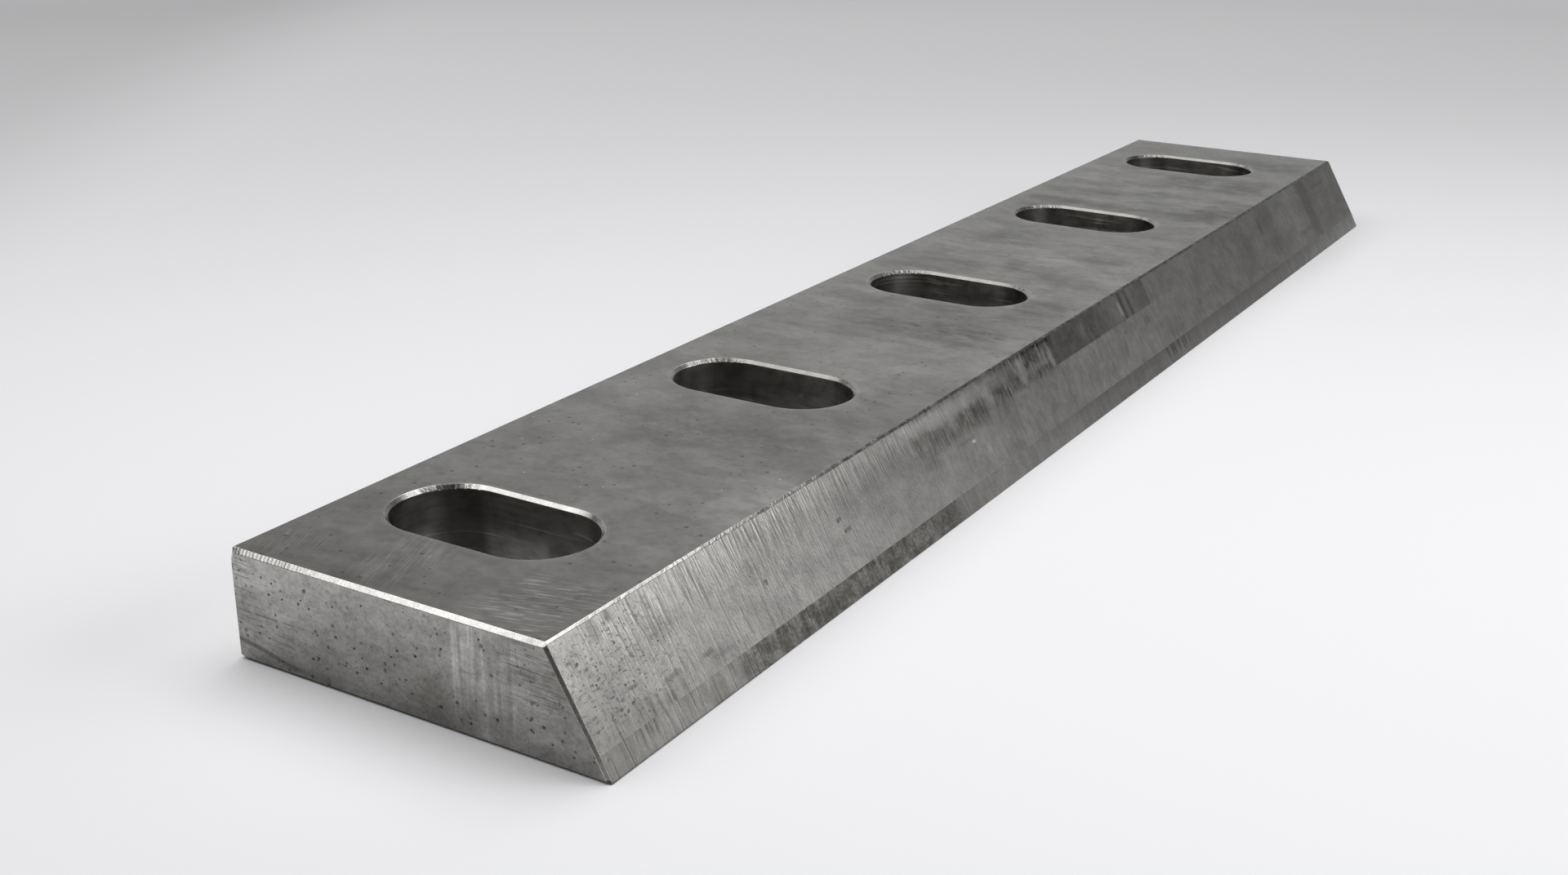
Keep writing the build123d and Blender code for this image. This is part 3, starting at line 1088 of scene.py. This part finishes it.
oxide = bevel.patches(
    (187, 248.6, -4, 7.5, (0.9, 0.5), 0.15, 0.32), (248.6, 268, -4, 7.5, (6, 0.5), 0.15, 0.12),
    (204.6, 207.4, 2, 6, (1.6, 2.4), 0.5, -0.22), (229.4, 231, 2.5, 6.2, (0.9, 1.5), 0.3, -0.5),
    (231.2, 233.2, -1, 7.4, (0.8, 0.8), 0.3, 0.3), (235.4, 237.2, -1, 7.4, (0.8, 0.8), 0.3, 0.24),
    (237.2, 240, -2, 7.4, (1.2, 0.8), 0.3, -0.12), (243, 248.6, -2, 7.4, (3, 0.8), 0.3, 0.1),
)
band = bevel.patch(187, 228, -4, 7.5, (0.9, 0.5), 0.15) * smooth(bevel.u, 225, 212)
oxide = band * 0.28 + oxide
bevel.times(oxide * (mottled * 0.2 + 0.88), -1.0)
marks = bevel.patches(
    (345, 354, 1, 15, (7, 6), 1.5, 0.2), (340, 343, 4, 9, (2, 3), 1, 0.24),
    (384, 392, -2, 19, (4, 6), 1.2, 0.26), (371, 384, 14.5, 16, (5, 1.2), 0.6, 0.2),
    (398, 410, 3.8, 5.2, (5, 1.0), 0.5, 0.2), (395, 412, 0.6, 1.4, (6, 0.8), 0.3, 0.16),
    (380, 384, 2.6, 3.4, (3, 0.8), 0.3, 0.2), (244, 263, 16, 19.5, (5, 4), 1.2, 0.1),
    (334, 342, 5, 9, (6, 3), 1.2, 0.1), (318, 330, 2, 18, (6, 8), 2, 0.12),
    (233, 240, 14.5, 18.6, (3, 3), 0.8, -0.16), (240.6, 243.6, 9, 11.5, (1.6, 1.6), 0.6, 0.26),
    (226.6, 228.8, 9.8, 10.8, (1, 1), 0.4, 0.26), (20.4, 25, 15.2, 16, (2, 0.7), 0.3, 0.3),
    (31.6, 34.4, 15.3, 16.2, (1.6, 0.7), 0.3, 0.3), (34, 40, 16.9, 17.8, (2.4, 0.8), 0.4, 0.2),
    (42.4, 46.8, 8.5, 9.2, (2, 0.7), 0.3, 0.2), (2.2, 3.6, 4.4, 5.0, (0.8, 0.5), 0.6, 0.42),
    (4.1, 5.6, 3.7, 4.3, (0.8, 0.5), 0.6, 0.34), (9.6, 11.6, 0, 4.6, (0.9, 2), 0.4, 0.24),
    (14.4, 15.6, 0, 2.4, (0.7, 1), 0.3, 0.4), (79.5, 82.4, 9.4, 12.6, (1.6, 2), 0.6, -0.16),
    (132, 139, 10.2, 10.9, (3, 0.6), 0.3, 0.22), (138.2, 139.6, 11.1, 11.7, (0.6, 0.4), 0.2, -1.0),
    (143, 144.4, 13.4, 15.6, (0.8, 1), 0.3, -0.3), (152.4, 153.8, 13, 15, (0.8, 1), 0.3, -0.22),
    (355, 378, 0, 12, (8, 6), 3, -0.1), (90, 112, 3, 8.5, (7, 3), 1.5, 0.1),
    (81.6, 83.2, 8.9, 9.6, (0.6, 0.4), 0.3, 0.5), (82.8, 85, 11.4, 12.2, (0.8, 0.4), 0.3, 0.4),
    (148, 194, 7, 22, (16, 5), 2, 0.11), (50, 57, 7, 10.5, (3, 2.4), 1.6, 0.14),
    (84, 90, 3, 9, (4, 4), 1.4, 0.1), (104, 110, 2, 7, (3, 3), 1.4, 0.14),
    (7.4, 9.6, 14.8, 15.3, (0.9, 0.4), 0.5, 0.3), (5.2, 6.4, 6.6, 7.2, (0.6, 0.5), 0.3, 0.5),
    (12.4, 14.6, 13, 13.5, (0.8, 0.4), 0.4, 0.4), (21.8, 23.6, 7.8, 8.4, (0.9, 0.5), 0.8, 0.26),
    (54.2, 55.4, 10.8, 11.5, (0.6, 0.4), 0.3, 0.5), (33, 39, 15.6, 17.2, (2, 1), 0.6, 0.14),
)
bevel.times(marks, -1.0)
bevel.times(bevel.pits(2.4, 0.3, 0.4, 6.0), -0.35)
bevel.times(bevel.dirt(), -0.75)
leather = bevel.clouds((0.55, 0.75, 0.6), 0.2, 0.8, 60.0)
leathery = bevel.level(bevel.u, (0, 1.0), (40, 0.8), (100, 0.3), (425, 0.15))
bevel.raise_by(leather * leathery, 0.09)
bevel.raise_by(ground["Height"] * scored, 0.05)
bevel.done(bevel.level(bevel.clouds((5, 8, 5), 0.3, 0.7, 24.0), (0, 0.36), (1, 0.44)))

# Land: the narrow steeper strip at the cutting edge, ground in a second setting. It is darker than the
# bevel over most of its length, and lighter again at the far end
land = Finish("land_face")
land.on_face(land.x - low_x, (thickness - land.z) * slope)
land.times(land.level(
    land.u, (0, 0.29), (22, 0.385), (40, 0.4), (52, 0.32), (62, 0.305), (85, 0.31), (105, 0.315),
    (120, 0.292), (145, 0.37), (172, 0.31), (200, 0.262), (231, 0.24), (262, 0.262), (330, 0.26),
    (365, 0.34), (392, 0.4), (425, 0.46),
))
edge_lines = land.lines(land.u, land.v, 0.42, 9.0, 15.0, 0.5)
lined = land.level(land.u, (0, 1.0), (100, 1.0), (140, 0.4), (425, 0.4))
land.lay(edge_lines, lined, Shade=0.5, Glints=0.3, Scores=-0.38)
streaky = land.clouds((1.7, 9, 3), 0.4, 0.6, 29.0)
furrows = land.patches(*[(u, u + 0.5, 15, 21.8, (0.5, 2.5), 0.4, 0.4) for u in (9.2, 10.6, 12.1, 13, 14.4)])
land.times(furrows, -1.0)
land.times(streaky * land.level(land.u, (0, 0.15), (40, 0.32), (100, 0.32), (140, 0.16), (425, 0.16)), -1.0)
blotted = land.patch(40, 122, 16, 26, (14, 4), 2)
land.times(land.clouds((5, 3.4, 4), 0.42, 0.58, 39.0) * blotted, -0.4)
land.times(land.clouds((0.8, 0.6, 1), 0.4, 0.66, 49.0) * blotted, -0.34)
bars = ((245.8, 0.7), (249, 0.8), (250.6, 0.7), (253.9, 0.7), (257, 0.6), (258.4, 0.8), (261.4, 0.5))
bars = land.patches(*[(u, u + wide, 17, 22.6, (0.6, 2.4), 0.4, 0.66) for u, wide in bars])
land.times(bars, -1.0)
lighter_foot = smooth(land.v, 19.4, 23.4, -0.12, 0.12) * smooth(land.u, 150, 190)
land.times(lighter_foot, 1.0)
land.mottle(
    ((0.5, 0.4, 0.6), 0.35, 0.7, 59.0, -0.14),
    ((8, 5, 6), 0.4, 0.7, 9.0, -0.14),
    ((1.6, 1.2, 1.6), 0.5, 0.7, 19.0, -0.12),
)
land.times(land.pits(1.6, 0.24, 0.4, 2.0), -0.3)
# Painted shade: a dark line along the land's foot at the near end, where it meets the floor
painted_contact_shade = smooth(land.v, 23.8, 24.15) * smooth(land.u, 70, 25)
land.times(painted_contact_shade, -0.42)
land.raise_by(edge_lines["Height"], 0.012)
land.raise_by(land.clouds((0.5, 0.5, 0.5), 0.2, 0.8, 61.0), 0.03)
land.done(0.4)

# Broken edges: chamfers filed and ground bright, with cross marks of the file, dull again on the ridge
# beyond the near end
edge = Finish("broken_edge")
edge.on_face(edge.x, edge.y, edge.z)
# Ridge
on_ridge = (edge.y < ridge_y + 1.0) * (edge.z > thickness - 1.0)
from_end = edge.x - low_x
dull = edge.level(from_end, (0, 0.0), (30, 0.0), (75, 0.75), (100, 1.0), (425, 1.0))
dashed = edge.clouds((2.2, 3, 3), 0.4, 0.6, 15.0)
dull = dull * (dashed * 0.45 + 0.55)
edge.times(edge.level(on_ridge * dull, (0, 0.62), (1, 0.18)))
# Slot rims: painted reflection that shines and darkens by turns round each slot, the near ones otherwise than
# the far ones
angle, off_slot = edge.round_slot()
on_rim = off_slot < 1.5
first = edge.level(
    angle, (-180, 1.4), (-35, 1.4), (-20, 0.55), (0, 0.75), (25, 0.9), (38, 0.3), (50, 0.36), (61, 1.25),
    (84, 1.2), (97, 0.55), (112, 0.6), (180, 1.4),
)
later = edge.level(
    angle, (-180, 1.25), (-32, 1.2), (-20, 0.25), (0, 0.42), (25, 0.46), (45, 0.62), (58, 0.34), (72, 0.4),
    (88, 0.95), (180, 1.3),
)
painted_rim_reflection = mixed(smooth(from_end, 60, 110), first, later)
edge.times((painted_rim_reflection - 1.0) * on_rim, 1.0)
second = abs(edge.x - slot_places[1]) < 20.0
# Painted highlight on part of the second slot's rims
painted_rim_highlight = second * edge.level(angle, (42, 0), (53, 1), (74, 1), (84, 0))
edge.times(painted_rim_highlight * on_rim, 1.6)
teeth = smooth(noise_at(xyz(angle, off_slot, edge.x), 1.0, scale=0.42), 0.46, 0.54)
teeth = teeth * on_rim * edge.level(angle, (8, 0), (22, 1), (60, 1), (76, 0))
edge.times(teeth, -0.5)
# Chamfers round the ends: the mitre beside the bevel, darkened with painted shade, and the crown along the
# top
to_bevel = edge.y - cutting_y - edge.z / tan(bevel_angle)
past_chamfer = 0.8  # a little more than the width of the chamfers at the ends
at_end = abs(edge.x) > high_x - past_chamfer
mitre = at_end * (to_bevel < 1.0)
mitre = mitre * smooth(edge.z, thickness - 0.5, thickness - 0.9)
crown = at_end * (edge.z > thickness - 0.95)
crown = crown * edge.level(
    edge.y, (ridge_y, 0.24), (-24, 0.16), (-8, 0.1), (14, 0.1), (26, 0.28), (back_y, 0.32),
)
edge.times(crown, -1.0)
# Painted shade on the mitre, darkest at its top
edge.times(mitre * edge.level(edge.z, (0, 0.0), (2.5, 0.18), (6, 0.34), (14, 0.45), (21, 0.56)), -1.0)
worn = mitre * -0.85 + 1.0
edge.times(edge.clouds((0.5, 0.5, 0.5), 0.3, 0.75, 5.0) * worn, -0.13)
edge.times(edge.clouds((3, 3, 3), 0.35, 0.7, 6.0), -0.14)
filed = edge.lines(edge.x + edge.y, edge.z, 0.35, 3.0, 12.0)
edge.lay(filed, worn, Shade=0.2)
# Foot of the ends and of the long faces, darkened with painted contact shade, and the upright edges at the
# back
foot = edge.z < 0.7
end_foot_shade = edge.level(edge.y, (cutting_y, 0.35), (-30, 0.24), (-10, 0.17), (5, 0.12), (back_y, 0.08))
edge.times(foot * at_end * (end_foot_shade - 1.0), 1.0)
upright = at_end * (edge.y > back_y - past_chamfer)
edge.times(upright * edge.level(edge.z, (0, 0.1), (21, 0.4)), -1.0)
long_foot_shade = foot * (1.0 - at_end)
edge.times(long_foot_shade * edge.level(from_end, (0, 0.5), (150, 0.62), (425, 0.78)), -1.0)
edge.raise_by(edge.clouds((0.3, 0.3, 0.3), 0.2, 0.8, 62.0), 0.008)
edge.raise_by(filed["Height"] * worn, 0.01)
edge.done(edge.level(edge.clouds((1.0, 1.0, 1.0), 0.3, 0.7, 25.0), (0, 0.2), (1, 0.32)))

# Slot walls: the insides of the bolt slots, milled steel with rings of tool marks round them. They are
# dark, with painted reflection round each slot, and painted light and shade low in the near slot
wall = Finish("slot_wall")
wall.on_face(wall.x, wall.y, wall.z)
wall_angle = wall.round_slot()[0]
wall.times(wall.level(wall.z, (0, 0.18), (12, 0.22), (21, 0.27)))
wall.times(wall.level(wall.x, (low_x, 0.85), (-100, 1.05), (0, 1.4), (high_x, 1.55)))
# Painted reflection: the tone changes round each slot, the near slots otherwise than the far ones
near_wall_reflection = wall.level(
    wall_angle, (-180, 0.8), (-90, 0.6), (-30, 0.6), (-15, 0.72), (-3, 0.85), (3, 0.85), (15, 0.5),
    (30, 0.42), (45, 0.4), (60, 0.7), (75, 0.75), (90, 1.0), (180, 0.9),
)
far_wall_reflection = wall.level(
    wall_angle, (-180, 0.6), (-90, 0.4), (-40, 0.4), (-28, 0.27), (-15, 0.38), (-3, 0.75), (3, 0.75),
    (15, 0.48), (30, 0.6), (42, 0.95), (50, 0.95), (62, 0.5), (78, 0.38), (110, 0.45), (180, 0.6),
)
later_slots = smooth(wall.x, slot_places[1] + 20, slot_places[2] - 20)
wall.times(mixed(later_slots, near_wall_reflection, far_wall_reflection))
# Painted light low on part of the near slot's wall, and painted shade low on another part of it
painted_slot_light = smooth(wall.z, 15, 10.5) * smooth(wall.x, slot_places[0] + 20, slot_places[0] + 12)
wall.times(painted_slot_light * smooth(wall.y, 4, 9), 1.2)
painted_slot_shade = smooth(wall.z, 15, 11) * smooth(wall.x, slot_places[0] + 20, slot_places[0] + 16)
painted_slot_shade = painted_slot_shade * wall.level(wall_angle, (2, 0), (14, 1), (52, 1), (66, 0))
wall.times(painted_slot_shade, -0.5)
rings = wall.lines(wall.z, wall.x + wall.y, 0.5, 16.0, 4.0)
wall.times(rings["Shade"], 0.5)
wall.times(rings["Glints"], 0.8)
wall.times(wall.clouds((5, 5, 2.5), 0.4, 0.7, 12.0), -0.3)
wall.times(wall.pits(2.0, 0.24, 0.4, 8.0), -0.3)
wall.raise_by(rings["Height"], 0.02)
wall.done(wall.level(wall.clouds((3, 3, 3), 0.3, 0.7, 26.0), (0, 0.34), (1, 0.5)))

# Seat and back: the two faces that lie against the machine, ground flat along the bar. They are
# cleaner than the rest, with a thin cloud of oil and a few rust pits
hidden = Finish("hidden_face")
hidden.on_face(hidden.x, hidden.y, hidden.z)
hidden.times(hidden.level(hidden.x, (low_x, 0.4), (0, 0.42), (high_x, 0.4)))
level_lines = hidden.lines(hidden.y + hidden.z, hidden.x, 0.3, 40.0, 7.0)
hidden.times(level_lines["Shade"], 0.12)
hidden.mottle(
    ((18, 10, 10), 0.35, 0.7, 13.0, -0.16),
    ((4, 3, 3), 0.45, 0.72, 27.0, -0.1),
)
hidden.times(hidden.pits(3.0, 0.3, 0.4, 4.0), -0.4)
hidden.times(hidden.dirt(), -0.75)
hidden.raise_by(level_lines["Height"], 0.008)
hidden.done(hidden.level(hidden.clouds((7, 7, 7), 0.3, 0.7, 28.0), (0, 0.34), (1, 0.44)))

# Floor: a wide sheet of pale matt board, which the knife lies on. Painted pools of light and shade make it
# lightest before the cutting side, and it fades out far behind into the room's own tone, so that no border of
# it is seen from any side
floor_radius, floor_corners = 1.5, 96
floor_height = -0.00004  # just under the seat face
turns = [2 * pi * n / floor_corners for n in range(floor_corners)]
floor_rim = [(floor_radius * cos(turn), floor_radius * sin(turn), floor_height) for turn in turns]
floor_mesh = bpy.data.meshes.new("floor")
floor_mesh.from_pydata(floor_rim, [], [list(range(floor_corners))])
floor = bpy.data.objects.new("floor", floor_mesh)
bpy.context.scene.collection.objects.link(floor)
board = bpy.data.materials.new("pale_board")
board.use_nodes = True
floor_mesh.materials.append(board)
on_floor = by_name(put(board.node_tree, "ShaderNodeTexCoord"))["Object"]

# Pools of light and shade: (place, reach along x and y, strength), in metres
floor_pools = [
    ((-0.074, -0.294), (0.42, 0.42), 0.39), ((-0.2, 0.12), (0.25, 0.25), 0.09),
    ((0.36, 0.17), (0.32, 0.32), -0.04), ((0.5, -0.06), (0.22, 0.22), -0.03),
    ((0.165, -0.0425), (0.04, 0.006), -0.06), ((-0.225, 0.012), (0.02, 0.026), 0.05),
    ((-0.217, 0.062), (0.03, 0.025), -0.05), ((0.0, -1.05), (0.8, 0.4), 0.17),
]
tone = 0.56
for place, reach, strength in floor_pools:
    pool = vectors("DIVIDE", vectors("SUBTRACT", on_floor, (*place, 0.0)), (*reach, 1.0))
    pool = vectors("LENGTH", pool, output="Value")
    tone = maths("EXPONENT", pool * pool * -1.0) * strength + tone
leftward = vectors("DOT_PRODUCT", on_floor, (-0.52, 0.854, 0.0), output="Value")
off_centre = vectors("LENGTH", on_floor, output="Value")
# Painted shade far beyond the knife on the left, and painted light far out from it
tone = tone * smooth(leftward, 0.27, 0.42, 1.0, 0.8) * smooth(off_centre, 0.8, 1.2, 1.0, 1.44)
board_looks = {
    "Base Color": scaled((0.994, 0.994, 1.01), tone),
    "Roughness": 0.9,
    "Alpha": smooth(off_centre, 0.85, 1.45, 1.0, 0.0),
}
feed(board.node_tree.nodes["Principled BSDF"], board_looks)

# Light: one wide soft box overhead and a panel before the near end of the cutting side, in a grey room.
# The room is as light as the floor below its horizon, and above it lightest beyond the knife
world = bpy.data.worlds.new("studio")
bpy.context.scene.world = world
world.use_nodes = True
facing = by_name(put(world.node_tree, "ShaderNodeTexCoord"))["Generated"]
beyond = vectors("DOT_PRODUCT", facing, (0.83, 0.56, 0.0), output="Value")
room = smooth(beyond, 0.5, 0.95, 0.14, 0.36)
room = room + smooth(parts_of(facing)[2], 0.12, -0.03) * (0.47 - room)
feed(world.node_tree.nodes["Background"], {"Color": scaled((1.0, 1.0, 1.015), room)})


def soft_box(name, place, width, depth, radiance, aim=(0, 0, 0), swing=0.0):
    """A lamp whose brightness stays the same when its size changes."""
    lamp = bpy.data.lights.new(name, "AREA")
    lamp.shape = "RECTANGLE"
    lamp.size, lamp.size_y = width, depth
    lamp.energy = radiance * width * depth * pi
    lamp_object = bpy.data.objects.new(name, lamp)
    bpy.context.scene.collection.objects.link(lamp_object)
    lamp_object.location = place
    lamp_object.rotation_mode = "QUATERNION"
    turned = (Vector(aim) - Vector(place)).to_track_quat("-Z", "Y")
    lamp_object.rotation_quaternion = turned @ Quaternion((0, 0, 1), radians(swing))


over = Vector((-0.1, 0.45, 1.06))
soft_box("overhead", over, width=2.5, depth=1.25, radiance=2.16, aim=(over.x, over.y, 0.0), swing=-34.8)
soft_box("side_panel", (0.31, -0.92, 0.42), width=0.6, depth=0.5, radiance=2.4)

# Camera, at the photograph's place and lens: tilted up from straight down, rolled, and turned from +Y
camera_place = Vector((-0.405006, -0.187617, 0.147173))
camera_tilt, camera_roll, camera_heading = radians(69.53337), radians(-0.3565), radians(-58.57492)
camera_data = bpy.data.cameras.new("camera")
camera = bpy.data.objects.new("camera", camera_data)
bpy.context.scene.collection.objects.link(camera)
camera_data.sensor_width = 36.0
camera_data.lens = 41.645
camera_data.clip_start, camera_data.clip_end = 0.02, 20.0
turned = Euler((camera_tilt, camera_roll, camera_heading))
camera.matrix_world = Matrix.LocRotScale(camera_place, turned, None)
bpy.context.scene.camera = camera
bpy.context.scene.view_settings.view_transform = "Standard"
